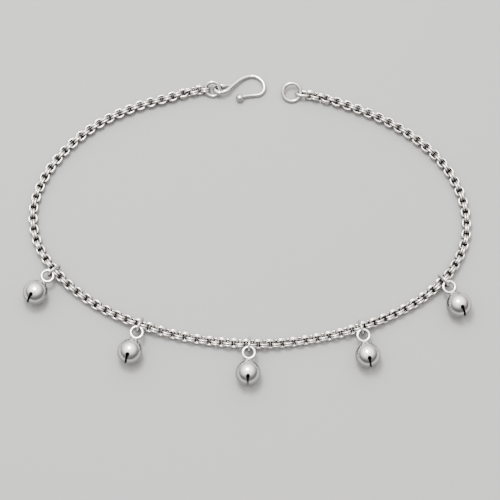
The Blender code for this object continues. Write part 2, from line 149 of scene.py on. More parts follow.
# Pairs of links in each stretch between the chain's ends and its bells. The whole count is
# even, so the first pair suits the hook's ring and the last suits the end link
PAIRS_IN_STRETCH = (53, 18, 18, 19, 17, 51)

# How far every second pair of links is turned from facing the camera, in degrees, at
# shares of the way round. The pairs between them are a quarter turn from that
TURNS_FROM_CAMERA = [
    (0.00, 0), (0.12, 4), (0.22, 8), (0.36, 10), (0.43, 26), (0.56, 30),
    (0.66, 26), (0.73, 10), (0.80, 4), (0.88, 8), (1.00, 0),
]

# The hook's wire: places along and across the hook from the middle of its eye, as shares of
# the hook's length, and heights as shares of the way from the floor to the eye's top. The
# wire starts at its tucked end, goes round the eye by the degrees listed, and ends at the
# ball
HookPoint = namedtuple("HookPoint", "along across height")
HOOK_POINTS = [
    HookPoint(0.170, -0.047, 0.90), HookPoint(0.284, 0.076, 0.62),
    HookPoint(0.424, 0.211, 0.32), HookPoint(0.562, 0.300, 0.12),
    HookPoint(0.700, 0.338, 0.00), HookPoint(0.842, 0.312, 0.00),
    HookPoint(0.956, 0.211, 0.00), HookPoint(1.000, 0.101, 0.00),
    HookPoint(0.990, -0.010, 0.00), HookPoint(0.909, -0.098, 0.00),
    HookPoint(0.792, -0.123, 0.02), HookPoint(0.656, -0.139, 0.10),
    HookPoint(0.552, -0.158, 0.22),
]
BALL_PLACE = HookPoint(0.448, -0.205, 0.0)
TUCKED_PLACES = [HookPoint(0.306, 0.146, 0.0), HookPoint(0.215, 0.118, 0.0)]
EYE_DEGREES = range(60, 301, 30)
# Fine points along the wire are about this far apart
HOOK_SPACING = HOOK_WIRE / 16
# The tucked end rounds off to this share of its thickness
BLUNT_SHARE = 0.08

# How finely each shape is meshed: steps along it and sides around it
Detail = namedtuple("Detail", "along around")
LINK_DETAIL = Detail(36, 14)
RING_DETAIL = Detail(96, 24)
HOOK_DETAIL = Detail(260, 24)
BALL_DETAIL = Detail(24, 40)
END_LINK_DETAIL = Detail(72, 20)
BELL_DETAIL = Detail(48, 80)
HOLE_SIDES = 36
NECK_DETAIL = Detail(12, 40)
EYELET_DETAIL = Detail(64, 20)
BELL_RING_DETAIL = Detail(72, 18)
# A direction that no wire here starts along
ASIDE = (0.3, 0.2, 1.0)

# Drawn wire is a little uneven: the share by which its radius wanders, in waves round the
# ring, each shifted by up to about a full turn. The seeds are of all random draws
UNEVENNESS = 0.015
WAVES = (2, 3, 5)
WAVE_SHIFT = 6.3
SEEDS = {"links": 7, "hook_ring": 11, "end_link": 12, "clasp_ring": 13, "bell_rings": 20}

# The links' painted shade, where they lie between one another, is full within the inner
# radius of the chain's axis and gone beyond the outer radius. Every piece also has painted
# shade and painted dark reflection where it doesn't face up: it starts where the upward part of
# the normal falls below the first value, and is full the second value lower
UNSHADED_RADIUS = 0.0029
FULL_SHADE_RADIUS = 0.0014
UNSHADED_UPWARD = 0.68
UNDERSIDE_BLEND = 0.34
UNDERSIDE_PAINTED_SHADE = 0.80

# Silver looks: the second colour is the colour of the painted shade, which the cloudy film
# also darkens towards; the film is the most that the cloudy film adds to the painted shade
Look = namedtuple("Look", "name colour patina roughness film")
CHAIN_LOOK = Look("chain_silver_look", (0.83, 0.805, 0.77), (0.075, 0.060, 0.047),
                  (0.14, 0.24), 0.10)
WIRE_LOOK = Look("wire_silver_look", (0.88, 0.86, 0.83), (0.11, 0.10, 0.095),
                 (0.13, 0.22), 0.08)
# The bells' painted shade colour is a little blue: painted dark reflection as well as painted
# shade
BELL_LOOK = Look("bell_silver_look", (0.88, 0.865, 0.84), (0.075, 0.078, 0.085),
                 (0.14, 0.22), 0.06)
# The bell's inside, seen through its slot and holes, is a near black material: painted shade
SHADED_INSIDE_LOOK = Look("bell_inside_painted_shade", (0.10, 0.08, 0.06), (0.05, 0.04, 0.03),
                   (0.45, 0.65), 0.30)

# The cloudy polish, the dents and the scratches. A scale is about how many patches a metre
Grain = namedtuple("Grain", "scale detail")
CLOUD = Grain(230.0, 3.0)
CLOUD_RANGE = (0.3, 0.7)
FILM_RANGE = (0.50, 0.80)
DENTS = Grain(420.0, 1.0)
DENT_STRENGTH = 0.25
DENT_DEPTH = 0.00008
SCRATCHES = Grain(2500.0, 2.0)
SCRATCH_STRENGTH = 0.06
SCRATCH_DEPTH = 0.00002
SCRATCH_STRETCH = (1.0, 7.0, 1.0)
SCRATCH_TURN = (0.0, 0.0, 0.6)

# Floor
FLOOR_SIZE = 8.0
FLOOR_COLOUR = (0.42, 0.42, 0.4158, 1.0)
FLOOR_ROUGHNESS = 0.9
FLOOR_SHINE = 0.2

# Camera: the photo's picture is 500 pixels square, at 0.70 mm a pixel, and the camera sees
# as far as its sight
CAMERA_ELEVATION = math.radians(74)
CAMERA_DISTANCE = 1.3
CAMERA_SIGHT = 20.0
PICTURE_WIDTH = 0.350
CAMERA_SIDE = Vector((0.0, -math.cos(CAMERA_ELEVATION), math.sin(CAMERA_ELEVATION)))

# Light: the direction of the sky's brightest place, the cosines from it between which the
# sky brightens, and its strength at the two. The opening for the lens darkens from the
# first angle to the second, in degrees from the camera's side
SKY_PEAK = Vector((-0.08, 0.40, 0.91)).normalized()
SKY_REACH = (0.05, 1.0)
SKY_FALLOFF = 2.0
SKY_STRENGTH = (0.18, 4.2)
SKY_COLOUR = (1.0, 0.985, 0.965, 1.0)
LENS_ANGLES = (7.5, 4.5)
LENS_SHADE = 0.12
SOFTBOX_PLACE = (-0.15, 0.40, 1.15)
SOFTBOX_SIZE = 0.42
SOFTBOX_POWER = 16.0

LINK_REACH = (LINK_LENGTH - LINK_WIRE) / 2
LINK_SPREAD = (LINK_WIDTH - LINK_WIRE) / 2
HOOK_RING_RADIUS = (HOOK_RING_DIAMETER - HOOK_RING_WIRE) / 2
HOOK_RING_HEIGHT = HOOK_RING_RADIUS * math.sin(HOOK_RING_LEAN) + HOOK_RING_WIRE / 2
CLASP_RING_RADIUS = (CLASP_RING_DIAMETER - CLASP_RING_WIRE) / 2
CLASP_RING_HEIGHT = CLASP_RING_RADIUS * math.sin(CLASP_RING_LEAN) + CLASP_RING_WIRE / 2
END_LINK_REACH = (END_LINK_LENGTH - END_LINK_WIRE) / 2
EYELET_RADIUS = (EYELET_DIAMETER - EYELET_WIRE) / 2
BELL_REACH = (BELL_DIAMETER + EYELET_DIAMETER) / 2 + NECK_LENGTH
BELL_AXIS_HEIGHT = CHAIN_WAIST + GAP + BELL_RING_WIRE + LINK_ROOM
UP = Vector((0.0, 0.0, 1.0))

# The frame stands on its own origin, so the route is set over the hook's ring
low_corner, high_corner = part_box("hook_ring")
route_start = Vector((ROUTE[0][0] * LOOP_WIDTH, ROUTE[0][1] * LOOP_DEPTH, 0.0))
SHIFT = (low_corner + high_corner) / 2 - route_start
SHIFT.z = 0.0


# Materials

def new_material(name):
    material = bpy.data.materials.new(name)
    material.use_nodes = True
    tree = material.node_tree
    return material, tree.nodes, tree.links, tree.nodes["Principled BSDF"]


def map_range(nodes, links, source, start, end, to_start, to_end):
    node = nodes.new("ShaderNodeMapRange")
    node.inputs["From Min"].default_value = start
    node.inputs["From Max"].default_value = end
    node.inputs["To Min"].default_value = to_start
    node.inputs["To Max"].default_value = to_end
    links.new(source, node.inputs["Value"])
    return node.outputs["Result"]


def combined(nodes, links, operation, first, second, clamp=False):
    node = nodes.new("ShaderNodeMath")
    node.operation = operation
    node.use_clamp = clamp
    links.new(first, node.inputs[0])
    if isinstance(second, float):
        node.inputs[1].default_value = second
    else:
        links.new(second, node.inputs[1])
    return node.outputs["Value"]


def noise(nodes, links, place, grain):
    node = nodes.new("ShaderNodeTexNoise")
    node.inputs["Scale"].default_value = grain.scale
    node.inputs["Detail"].default_value = grain.detail
    links.new(place, node.inputs["Vector"])
    return node.outputs["Fac"]


def bumped(nodes, links, height, strength, depth):
    node = nodes.new("ShaderNodeBump")
    node.inputs["Strength"].default_value = strength
    node.inputs["Distance"].default_value = depth
    links.new(height, node.inputs["Height"])
    return node


def silver(look):
    """Polished silver: cloudy polish, hammered unevenness, fine scratches, and a dark colour
    that the mesh's attribute of painted shade and a thin cloudy film bring out."""
    material, nodes, links, surface = new_material(look.name)
    surface.inputs["Metallic"].default_value = 1.0
    place = nodes.new("ShaderNodeTexCoord").outputs["Object"]

    cloud = noise(nodes, links, place, CLOUD)
    polish = map_range(nodes, links, cloud, *CLOUD_RANGE, *look.roughness)
    links.new(polish, surface.inputs["Roughness"])

    # The mesh's attribute holds painted shade and painted dark reflection, not tarnish
    layer = nodes.new("ShaderNodeAttribute")
    layer.attribute_name = "patina"
    film = map_range(nodes, links, cloud, *FILM_RANGE, 0.0, look.film)
    tint = nodes.new("ShaderNodeMix")
    tint.data_type = "RGBA"
    tint.inputs["A"].default_value = (*look.colour, 1.0)
    tint.inputs["B"].default_value = (*look.patina, 1.0)
    links.new(combined(nodes, links, "ADD", layer.outputs["Fac"], film, clamp=True),
              tint.inputs["Factor"])
    links.new(tint.outputs["Result"], surface.inputs["Base Color"])

    dents = bumped(nodes, links, noise(nodes, links, place, DENTS), DENT_STRENGTH, DENT_DEPTH)
    stretched = nodes.new("ShaderNodeMapping")
    stretched.inputs["Scale"].default_value = SCRATCH_STRETCH
    stretched.inputs["Rotation"].default_value = SCRATCH_TURN
    links.new(place, stretched.inputs["Vector"])
    fine = noise(nodes, links, stretched.outputs["Vector"], SCRATCHES)
    scratches = bumped(nodes, links, fine, SCRATCH_STRENGTH, SCRATCH_DEPTH)
    links.new(dents.outputs["Normal"], scratches.inputs["Normal"])
    links.new(scratches.outputs["Normal"], surface.inputs["Normal"])
    return material


def floor_paper():
    material, _, _, surface = new_material("floor_paper")
    surface.inputs["Base Color"].default_value = FLOOR_COLOUR
    surface.inputs["Roughness"].default_value = FLOOR_ROUGHNESS
    surface.inputs["Specular IOR Level"].default_value = FLOOR_SHINE
    return material


# Routes, as in the solids

def smooth_path(points, spacing):
    """Points about the spacing apart, on a smooth curve through the given points."""
    corners = [Vector(point) for point in points]
    corners.insert(0, corners[0] * 2 - corners[1])
    corners.append(corners[-1] * 2 - corners[-2])
    fine = []
    for before, start, end, after in zip(corners, corners[1:], corners[2:], corners[3:]):
        span = (end - start).length
        lead = (end - before) * (span / ((start - before).length + span))
        tail = (after - start) * (span / ((after - end).length + span))
        pieces = max(2, round(span / spacing))
        for index in range(pieces):
            share = index / pieces
            blend = (2 * share ** 3 - 3 * share ** 2 + 1, share ** 3 - 2 * share ** 2 + share,
                     3 * share ** 2 - 2 * share ** 3, share ** 3 - share ** 2)
            fine.append(start * blend[0] + lead * blend[1] + end * blend[2] + tail * blend[3])
    fine.append(corners[-2].copy())
    return fine


class Path:
    """A fine run of points that can be read by its length."""

    def __init__(self, points):
        self.points = points
        self.marks = [0.0]
        for start, end in zip(points, points[1:]):
            self.marks.append(self.marks[-1] + (end - start).length)
        self.length = self.marks[-1]

    def at(self, distance):
        distance = min(max(distance, 0.0), self.length)
        index = max(int(np.searchsorted(self.marks, distance)), 1)
        span = self.marks[index] - self.marks[index - 1]
        share = (distance - self.marks[index - 1]) / span
        return self.points[index - 1].lerp(self.points[index], share)

    def heading(self, distance):
        ahead = self.at(distance + ROUTE_SPACING)
        return (ahead - self.at(distance - ROUTE_SPACING)).normalized()


def bell_stations(path):
    return [place.way_share * path.length for place in BELL_PLACES]


def swell(distance, reach):
    """1 at no distance, falling smoothly to 0 at the reach."""
    if abs(distance) >= reach:
        return 0.0
    return math.cos(math.pi * distance / (2 * reach)) ** 2


def middle_lean(path, distance):
    """The lean of every second pair of links about the chain's axis; the pairs between
    them lean a quarter turn less."""
    heading = path.heading(distance)
    left = Vector((-heading.y, heading.x, 0.0))
    to_camera = math.atan2(CAMERA_SIDE.dot(left), CAMERA_SIDE.z)
    shares, turns = zip(*TURNS_FROM_CAMERA)
    turn = float(np.interp(distance / path.length, shares, turns))
    return math.pi / 2 + to_camera - math.radians(turn)


def resting_height(lean):
    """The axis height at which links of this lean, and a quarter turn less, touch the floor."""
    half_pair = PAIR_SPACING / 2
    first = LINK_SPREAD * abs(math.cos(lean)) + half_pair * abs(math.sin(lean))
    second = LINK_SPREAD * abs(math.sin(lean)) + half_pair * abs(math.cos(lean))
    return max(first, second) + LINK_WIRE / 2


def chain_height(path, distance):
    """The chain's axis rests above the floor, and rises to each bell's ring and to the
    rings at its ends."""
    rest = resting_height(middle_lean(path, distance))
    lift = 0.0
    for station in bell_stations(path):
        lift = max(lift, (BELL_AXIS_HEIGHT - rest) * swell(distance - station, LIFT_REACH))
    lift += (HOOK_RING_HEIGHT - rest) * swell(distance, END_REACH)
    lift += (CLASP_RING_HEIGHT - rest) * swell(path.length - distance, END_REACH)
    return rest + lift


def end_link_half():
    """How far the end link's long sides lie from its middle, and its lean, so that it
    clears the clasp ring's wire."""
    clear = (CLASP_RING_WIRE + END_LINK_WIRE) / 2 + THREAD_GAP
    level = END_LINK_SPREAD / 2
    rise = (clear - level * math.sin(CLASP_RING_LEAN)) / math.cos(CLASP_RING_LEAN)
    return math.hypot(level, rise), math.atan2(level, rise)


def first_link_distance():
    """How far the first pair of links lies from the middle of the hook's ring."""
    room = HOOK_RING_RADIUS - HOOK_RING_WIRE / 2 - LINK_WIRE / 2 - GAP
    return math.sqrt(room ** 2 - (PAIR_SPACING / 2) ** 2) + LINK_REACH


def last_link_distance():
    """How far the last pair of links lies from the middle of the end link."""
    spread, _ = end_link_half()
    room = spread - END_LINK_WIRE / 2 - LINK_WIRE / 2 - GAP
    inside = math.sqrt(max(room ** 2 - (PAIR_SPACING / 2) ** 2, 0.0))
    return END_LINK_REACH - spread + inside + LINK_REACH


def frame_matrix(place, along, across):
    """The matrix that puts a shape's middle at the place, its X along and its Y across."""
    normal = along.cross(across).normalized()
    turn = Matrix((along, across, normal)).transposed().to_4x4()
    return Matrix.Translation(place) @ turn


def leaning(heading, lean):
    """The direction square to the level heading that leans this far from upright, to the left."""
    left = Vector((-heading.y, heading.x, 0.0)).normalized()
    return left * math.sin(lean) + UP * math.cos(lean)


# Mesh makers

def link_object(name, data):
    item = bpy.data.objects.new(name, data)
    bpy.context.scene.collection.objects.link(item)
    return item


def mesh_object(name, points, faces, material):
    data = bpy.data.meshes.new(name)
    data.from_pydata(points, [], faces)
    data.materials.append(material)
    data.shade_smooth()
    return link_object(name, data)


def shell_object(name, shell, material):
    data = bpy.data.meshes.new(name)
    shell.to_mesh(data)
    shell.free()
    data.materials.append(material)
    return link_object(name, data)


def boolean(item, other, operation):
    step = item.modifiers.new(operation, "BOOLEAN")
    step.operation = operation
    step.object = other
    step.material_mode = "TRANSFER"
    bpy.context.view_layer.update()
    evaluated = item.evaluated_get(bpy.context.evaluated_depsgraph_get())
    data = bpy.data.meshes.new_from_object(evaluated)
    item.modifiers.clear()
    item.data = data
    bpy.data.objects.remove(other, do_unlink=True)


def wall_faces(rows, sides, closed):
    """Faces between each row of points and the next, and from the last to the first if
    closed. Each row has as many points as there are sides."""
    faces = []
    for row in range(rows if closed else rows - 1):
        after = (row + 1) % rows
        for turn in range(sides):
            beside = (turn + 1) % sides
            faces.append((row * sides + turn, row * sides + beside,
                          after * sides + beside, after * sides + turn))
    return faces


def cap_faces(rows, sides):
    """A face over the first row of points and one over the last."""
    return [tuple(range(sides))[::-1], tuple((rows - 1) * sides + turn for turn in range(sides))]


def tube(centres, radii, sides, closed):
    """Points and faces of a round wire along the centres."""
    centres = np.asarray([tuple(point) for point in centres])
    count = len(centres)
    if closed:
        ahead = np.roll(centres, -1, axis=0) - np.roll(centres, 1, axis=0)
    else:
        ahead = np.gradient(centres, axis=0)
    ahead /= np.linalg.norm(ahead, axis=1)[:, None]
    side = np.zeros_like(centres)
    start = np.cross(ahead[0], ASIDE)
    side[0] = start / np.linalg.norm(start)
    for index in range(1, count):
        carried = side[index - 1] - ahead[index] * np.dot(side[index - 1], ahead[index])
        side[index] = carried / np.linalg.norm(carried)
    top = np.cross(ahead, side)
    angles = np.arange(sides) * 2 * np.pi / sides
    radii = np.broadcast_to(np.asarray(radii), (count,))
    spokes = (np.cos(angles)[None, :, None] * side[:, None, :]
              + np.sin(angles)[None, :, None] * top[:, None, :])
    points = (centres[:, None, :] + spokes * radii[:, None, None]).reshape(-1, 3)
    faces = wall_faces(count, sides, closed)
    if not closed:
        faces += cap_faces(count, sides)
    return points, faces


def wire_object(name, centres, radii, sides, closed, material):
    points, faces = tube(centres, radii, sides, closed)
    return mesh_object(name, points.tolist(), faces, material)


def uneven(count, wire, seed):
    """Radii of a hand-drawn wire: a slow unevenness that closes on itself."""
    draw = np.random.default_rng(seed)
    turns = np.linspace(0.0, 2 * np.pi, count, endpoint=False)
    wave = sum(draw.uniform(-1, 1) * np.sin(turns * waves + draw.uniform(0, WAVE_SHIFT))
               for waves in WAVES)
    return wire / 2 * (1 + UNEVENNESS * wave)


def stadium(reach, spread, steps):
    """A closed oval with round ends of the spread's radius, or a circle if the two match."""
    straight = max(reach - spread, 0.0)
    arc = math.pi * spread
    around = 2 * arc + 4 * straight
    points = []
    for index in range(steps):
        half, walked = divmod(around * index / steps, around / 2)
        if walked < arc:
            angle = walked / spread - math.pi / 2
            point = Vector((straight + spread * math.cos(angle), spread * math.sin(angle), 0))
        else:
            point = Vector((straight - (walked - arc), spread, 0))
        points.append(-point if half else point)
    return points


def full_oval(reach, spread, steps):
    """A closed oval a little fuller than an ellipse."""
    turns = np.arange(steps) * 2 * np.pi / steps
    cosines, sines = np.cos(turns), np.sin(turns)
    across = np.sign(cosines) * np.abs(cosines) ** LINK_FULLNESS * reach
    up = np.sign(sines) * np.abs(sines) ** LINK_FULLNESS * spread
    return np.stack([across, up, np.zeros(steps)], axis=1)


def set_painted_shade(piece, values):
    layer = piece.data.attributes.new("patina", "FLOAT", "POINT")
    layer.data.foreach_set("value", np.ascontiguousarray(values, dtype=np.float32))


def painted_underside_shade(piece):
    """Painted shade and painted dark reflection by how a surface faces: none upwards,
    rising on the sides and underneath.
    """
    normals = np.zeros(len(piece.data.vertices) * 3, dtype=np.float32)
    piece.data.vertex_normals.foreach_get("vector", normals)
    upward = normals.reshape(-1, 3)[:, 2]
    # Painted shade and painted dark reflection, darker the less the surface faces up
    return np.clip((UNSHADED_UPWARD - upward) / UNDERSIDE_BLEND, 0.0, 1.0) * UNDERSIDE_PAINTED_SHADE


def place_piece(piece, slot, *nodes):
    """The piece's own turn and place go into its mesh, so its box is true. It gets painted shade
    on its sides and underside unless it has painted shade already, rides on the one body, and
    stands for the nodes."""
    piece.data.transform(piece.matrix_world)
    piece.matrix_world = Matrix()
    piece.data.update()
    if "patina" not in piece.data.attributes:
        set_painted_shade(piece, painted_underside_shade(piece))
    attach(piece, "root")
    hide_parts(*nodes)


# Chain

def pair_distances(path):
    """Where the middle of each pair of links lies along the route. Each bell's ring sits
    midway between two pairs."""
    stations = bell_stations(path)
    starts = [first_link_distance()] + [station + RING_TO_PAIR for station in stations]
    ends = [station - RING_TO_PAIR for station in stations]
    ends.append(path.length - last_link_distance())
    distances = []
    for start, end, count in zip(starts, ends, PAIRS_IN_STRETCH):
        distances += np.linspace(start, end, count).tolist()
    return distances


def pair_lean(number, distance, path):
    """The lean of a pair about the chain's axis: a quarter turn from pair to pair, and
    square to the ring or link at each end."""
    _, end_lean = end_link_half()
    lean = middle_lean(path, distance)
    lean += (HOOK_RING_LEAN - lean) * swell(distance, END_REACH)
    lean += (end_lean - lean) * swell(path.length - distance, END_REACH)
    return lean - math.pi / 2 if number % 2 else lean


def pair_frame(number, distance, path):
    """The middle of a pair of links, the chain's direction there, and the direction of the
    links' width."""
    middle = path.at(distance) + SHIFT
    middle.z = chain_height(path, distance)
    rise = chain_height(path, distance + SLOPE_STEP) - chain_height(path, distance - SLOPE_STEP)
    along = (path.heading(distance) + UP * rise / (2 * SLOPE_STEP)).normalized()
    across = leaning(along, pair_lean(number, distance, path))
    across = (across - along * across.dot(along)).normalized()
    return middle, along, across


def add_links(name, numbers, distances, wander, path, material):
    """One joined mesh of the numbered pairs of links, with more painted shade near the chain's
    axis, where the links lie between one another."""
    centres = full_oval(LINK_REACH, LINK_SPREAD, LINK_DETAIL.along)
    link_points, link_faces = tube(centres, LINK_WIRE / 2, LINK_DETAIL.around, True)
    link_faces = np.array(link_faces)
    points = []
    faces = []
    axis_distances = []
    for number in numbers:
        middle, along, across = pair_frame(number, distances[number], path)
        normal = along.cross(across)
        for member, side in enumerate((-1, 1)):
            turn, slide = wander[number, member]
            loose = LINK_TURN * turn
            turned_across = (across * math.cos(loose) + normal * math.sin(loose)).normalized()
            place = middle + normal * side * PAIR_SPACING / 2 + along * slide * LINK_SLIDE
            matrix = np.array(frame_matrix(place, along, turned_across))
            moved = link_points @ matrix[:3, :3].T + matrix[:3, 3]
            moved[:, 2] -= min(moved[:, 2].min(), 0.0)
            faces.append(link_faces + len(points) * len(link_points))
            points.append(moved)
            out = moved - np.array(middle)
            out -= np.outer(out @ np.array(along), np.array(along))
            axis_distances.append(np.linalg.norm(out, axis=1))
    points = np.concatenate(points)
    faces = np.concatenate(faces)
    # Painted shade between the links: full near the chain's axis, gone further out
    depth = (UNSHADED_RADIUS - np.concatenate(axis_distances)) / (UNSHADED_RADIUS - FULL_SHADE_RADIUS)
    piece = mesh_object(name, points.tolist(), faces.tolist(), material)
    set_painted_shade(piece, np.clip(np.clip(depth, 0.0, 1.0) + painted_underside_shade(piece), 0.0, 1.0))
    return piece


def add_chain(path, material):
    distances = pair_distances(path)
    draw = np.random.default_rng(SEEDS["links"])
    wander = draw.normal(0.0, 1.0, (len(distances), 2, 2))
    half = len(distances) // 2
    near = add_links("chain_links_1", range(half), distances, wander, path, material)
    far = add_links("chain_links_2", range(half, len(distances)), distances, wander, path,
                    material)
    place_piece(near, "chain_silver", "chain", "hook_side_link_1", "hook_side_link_2")
    place_piece(far, "chain_silver", "clasp_side_link_1", "clasp_side_link_2")


# Rings, end link and hook

def round_ring(name, middle, diameter, wire, lean, seed, material):
    radius = (diameter - wire) / 2
    circle = stadium(radius, radius, RING_DETAIL.along)
    radii = uneven(RING_DETAIL.along, wire, seed)
    item = wire_object(name, circle, radii, RING_DETAIL.around, True, material)
    item.matrix_world = Matrix.Translation(middle) @ Matrix.Rotation(lean, 4, "X")
    return item


def hook_wire(share):
    """The hook wire's thickness at a share of its length, from the tucked end."""
    tucked = 1 - min(share / TUCKED_SHARE, 1.0)
    tip = max((share - 1 + TIP_SHARE) / TIP_SHARE, 0.0)
    thinner = (HOOK_WIRE - HOOK_TUCKED_WIRE) * tucked + (HOOK_WIRE - HOOK_TIP_WIRE) * tip
    return HOOK_WIRE - thinner


def hook_corners(ring_place):
    """The chosen points of the hook's middle line, from the tucked end to the ball."""
    clear = (HOOK_RING_WIRE + HOOK_WIRE) / 2 + THREAD_GAP
    half = EYE_WIDTH / 2
    rise = (clear - half * math.sin(HOOK_RING_LEAN)) / math.cos(HOOK_RING_LEAN)
    eye = ring_place + Vector((HOOK_RING_RADIUS - clear + half, 0.0, 0.0))
    top = eye.z + rise

    def placed(point, floor):
        """Where a point lies, with no height as the given level and a full height as the top."""
        along = eye.x + point.along * HOOK_LENGTH
        across = eye.y + point.across * HOOK_LENGTH
        return Vector((along, across, floor + point.height * (top - floor)))

    corners = [placed(point, HOOK_TUCKED_WIRE / 2 + GAP) for point in TUCKED_PLACES]
    for degrees in EYE_DEGREES:
        angle = math.radians(degrees)
        corners.append(eye + Vector(
            (half * math.cos(angle), half * math.sin(angle), -rise * math.sin(angle))))
    corners += [placed(point, HOOK_WIRE / 2) for point in HOOK_POINTS]
    corners.append(placed(BALL_PLACE, BALL_DIAMETER / 2))
    return corners


def add_hook(ring_place, material):
    """One bent wire, nowhere below the floor, with a ball on its tip."""
    corners = hook_corners(ring_place)
    path = Path(smooth_path(corners, HOOK_SPACING))
    cap = HOOK_TUCKED_WIRE / 2 / path.length
    points = []
    radii = []
    for index in range(HOOK_DETAIL.along + 1):
        share = index / HOOK_DETAIL.along
        radius = hook_wire(share) / 2
        point = path.at(share * path.length).copy()
        point.z = max(point.z, radius)
        ended = min(share / cap, 1.0)
        points.append(point)
        radii.append(radius * max(math.sqrt(1 - (1 - ended) ** 2), BLUNT_SHARE))
    hook = wire_object("silver_hook", points, radii, HOOK_DETAIL.around, False, material)
    shell = bmesh.new()
    bmesh.ops.create_uvsphere(shell, u_segments=BALL_DETAIL.around,
                              v_segments=BALL_DETAIL.along, radius=BALL_DIAMETER / 2)
    ball = shell_object("silver_hook_ball", shell, material)
    ball.location = corners[-1]
    boolean(hook, ball, "UNION")
    hook.data.shade_smooth()
    place_piece(hook, "wire_silver", "hook")


def add_hook_end(path, material):
    """The ring at the chain's start, and the hook."""
    ring_place = path.at(0.0) + SHIFT
    ring_place.z = HOOK_RING_HEIGHT
    ring = round_ring("silver_hook_ring", ring_place, HOOK_RING_DIAMETER, HOOK_RING_WIRE,
                      HOOK_RING_LEAN, SEEDS["hook_ring"], material)
    place_piece(ring, "wire_silver", "hook_ring")
    add_hook(ring_place, material)


def add_clasp_end(path, material):
    """The long link at the chain's end, and the ring that takes the hook."""
    end_place = path.at(path.length) + SHIFT
    end_place.z = CLASP_RING_HEIGHT
    heading = Vector((math.cos(CLASP_HEADING), math.sin(CLASP_HEADING), 0.0))
    spread, lean = end_link_half()
    oval = stadium(END_LINK_REACH, spread, END_LINK_DETAIL.along)
    radii = uneven(len(oval), END_LINK_WIRE, SEEDS["end_link"])
    link = wire_object("silver_end_link", oval, radii, END_LINK_DETAIL.around, True, material)
    link.matrix_world = frame_matrix(end_place, heading, leaning(heading, lean))
    place_piece(link, "wire_silver", "end_link")

    held = (END_LINK_LENGTH - END_LINK_WIRE - CLASP_RING_WIRE - END_LINK_WIRE) / 2 - THREAD_GAP
    clasp_place = end_place + heading * (held + CLASP_RING_RADIUS)
    clasp = round_ring("silver_clasp_ring", clasp_place, CLASP_RING_DIAMETER, CLASP_RING_WIRE,
                       CLASP_RING_LEAN, SEEDS["clasp_ring"], material)
    place_piece(clasp, "wire_silver", "clasp_ring")


# Bells

def solder_neck(radius, material):
    """A neck that flares from the eyelet's wire to its foot on the ball, wider along the
    eyelet than across it."""
    foot = radius * math.cos(math.asin(NECK_FOOT / BELL_DIAMETER)) - BELL_WALL / 2
    top = radius + NECK_LENGTH + EYELET_WIRE / 2
    steps, sides = NECK_DETAIL
    points = []
    for row in range(steps + 1):
        share = row / steps
        size = NECK_TOP_RADIUS + (NECK_FOOT / 2 - NECK_TOP_RADIUS) * (1 - share) ** NECK_FLARE
        along = foot + (top - foot) * share
        for turn in range(sides):
            angle = 2 * math.pi * turn / sides
            points.append((along, NECK_WIDENING * size * math.cos(angle), size * math.sin(angle)))
    faces = cap_faces(steps + 1, sides) + wall_faces(steps + 1, sides, False)
    return mesh_object("bell_neck", points, faces, material)


def bell_ball(name, radius, material):
    along_x = Matrix.Rotation(math.radians(90), 4, "Y")
    shell = bmesh.new()
    bmesh.ops.create_uvsphere(shell, u_segments=BELL_DETAIL.around,
                              v_segments=BELL_DETAIL.along, radius=radius, matrix=along_x)
    return shell_object(name, shell, material)


def bell_slot(slot_end, material):
    """What is cut out for the slot, from beyond the bell's far side to the slot's end."""
    deep = BELL_DIAMETER / 2 + slot_end + BELL_WALL
    middle = Matrix.Translation((slot_end - deep / 2, 0, 0))
    size = Matrix.Diagonal((deep, SLOT_WIDTH, BELL_CUT_HEIGHT, 1))
    shell = bmesh.new()
    bmesh.ops.create_cube(shell, size=1.0, matrix=middle @ size)
    return shell_object("bell_slot", shell, material)


def bell_hole(slot_end, material):
    """What is cut out for the two round holes at the slot's ends."""
    shell = bmesh.new()
    bmesh.ops.create_cone(shell, cap_ends=True, segments=HOLE_SIDES, radius1=SLOT_HOLE / 2,
                          radius2=SLOT_HOLE / 2, depth=BELL_CUT_HEIGHT,
                          matrix=Matrix.Translation((slot_end, 0, 0)))
    return shell_object("bell_hole", shell, material)


def bell_mesh(material, inside):
    """One bell about its own middle: X runs along its axis to the eyelet."""
    radius = BELL_DIAMETER / 2
    slot_end = -radius * math.cos(SLOT_ANGLE)
    body = bell_ball("bell_body", radius, material)
    circle = [point + Vector((BELL_REACH, 0, 0))
              for point in stadium(EYELET_RADIUS, EYELET_RADIUS, EYELET_DETAIL.along)]
    eyelet = wire_object("bell_eyelet", circle, EYELET_WIRE / 2, EYELET_DETAIL.around, True,
                         material)
    boolean(body, solder_neck(radius, material), "UNION")
    boolean(body, eyelet, "UNION")
    # The cut faces take the dark inside material, painted shade inside the bell
    boolean(body, bell_ball("bell_cavity", radius - BELL_WALL, inside), "DIFFERENCE")
    boolean(body, bell_hole(slot_end, inside), "DIFFERENCE")
    boolean(body, bell_slot(slot_end, inside), "DIFFERENCE")
    data = body.data
    bpy.data.objects.remove(body, do_unlink=True)
    data.shade_smooth()
    data.set_sharp_from_angle(angle=BELL_EDGE_ANGLE)
    return data


def bell_ring_shape():
    """The ring's points in its own plane, the tilt of its long axis, and how far the
    middle of the eyelet's wire lies from the chain's axis."""
    level = EYELET_SETBACK - EYELET_RADIUS
    reach = CHAIN_WAIST + GAP + EYELET_WIRE / 2
    tilt = math.acos(level / reach)
    near_end = CHAIN_WAIST + GAP + BELL_RING_WIRE / 2 + LINK_ROOM
    far_end = reach + EYELET_WIRE / 2 + GAP + BELL_RING_WIRE / 2
    shift = Vector(((far_end - near_end) / 2, 0, 0))
    oval = stadium((far_end + near_end) / 2, near_end, BELL_RING_DETAIL.along)
    return [point + shift for point in oval], tilt, reach


def turned(degrees):
    """A level direction this far round from the camera's side, towards +X."""
    angle = math.radians(degrees)
    return Vector((math.sin(angle), -math.cos(angle), 0.0))


